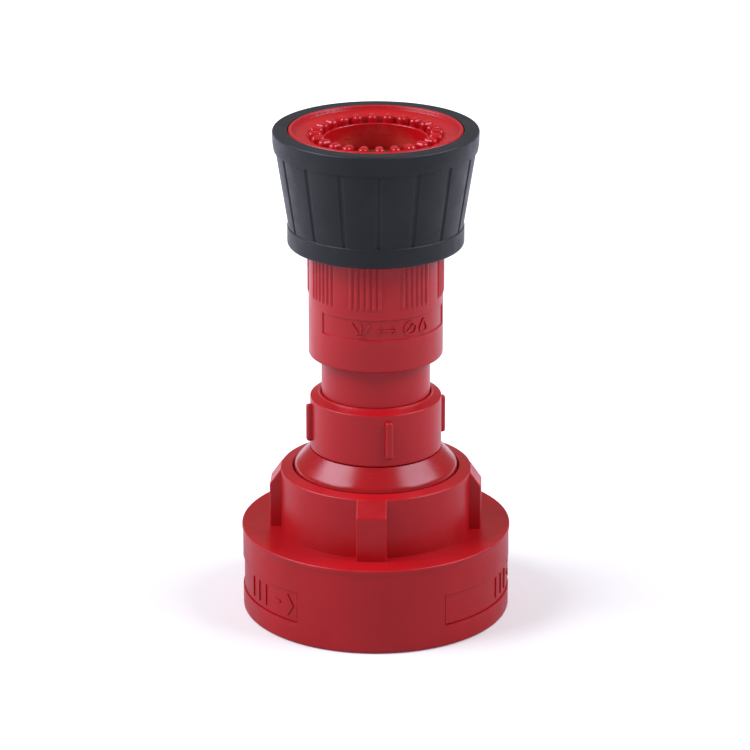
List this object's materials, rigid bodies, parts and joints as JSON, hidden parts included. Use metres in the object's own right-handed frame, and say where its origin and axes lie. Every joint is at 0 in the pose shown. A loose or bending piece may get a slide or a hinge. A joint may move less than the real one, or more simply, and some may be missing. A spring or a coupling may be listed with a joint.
{
  "type": "fire hose nozzle",
  "caption": "Plastic twist-type fire hose nozzle: swivel hose coupling with lugs, cone adapter, union nut, and a screw barrel with pegged fog mouth and rubber bumper.",
  "frame": {"origin": "centre of the coupling's open bottom face, on which the nozzle stands", "axes": "+Z along the waterway, from the hose end to the mouth; -Y is the side of the raised turning mark"},
  "size_m": [0.0992, 0.0992, 0.1835],
  "materials": {
    "red_plastic": "satin moulded polycarbonate",
    "gloss_red_plastic": "polished moulded polycarbonate",
    "bumper_rubber": "matt moulded rubber",
    "seal_rubber": "smooth nitrile rubber",
    "brass": "turned, dull",
    "steel": "stainless, bright"
  },
  "bodies": {
    "coupling": {"coupling_ring": "red_plastic", "hose_gasket": "seal_rubber"},
    "nozzle": {"swivel_wire": "steel", "cone_adapter": "gloss_red_plastic", "union_gasket": "seal_rubber", "union_nut": "red_plastic", "nut_retaining_ring": "steel", "nozzle_body": "red_plastic", "body_o_ring_rear": "seal_rubber", "body_o_ring_front": "seal_rubber", "stem": "brass", "stem_washer": "steel", "stem_nut": "brass", "seat_washer": "steel", "baffle_seat": "seal_rubber", "baffle": "brass", "baffle_nut": "steel"},
    "barrel_carrier": {"barrel_wiper_ring": "seal_rubber"},
    "barrel": {"barrel": "red_plastic", "fog_teeth_ring": "gloss_red_plastic", "bumper": "bumper_rubber"}
  },
  "joints": [
    {"name": "coupling_swivel", "type": "hinge", "parent": "coupling", "child": "nozzle", "pos_m": [0, 0, 0.04], "axis": [0, 0, 1], "continuous": true},
    {"name": "barrel_travel", "type": "slide", "parent": "nozzle", "child": "barrel_carrier", "axis": [0, 0, 1], "range_m": [-0.012, 0]},
    {"name": "barrel_turn", "type": "hinge", "parent": "barrel_carrier", "child": "barrel", "pos_m": [0, 0, 0.14], "axis": [0, 0, 1], "range_deg": [-360, 0]}
  ],
  "couplings": [
    {"joint": "barrel_travel", "follows": "barrel_turn", "m_per_rad": 0.0019098}
  ]
}
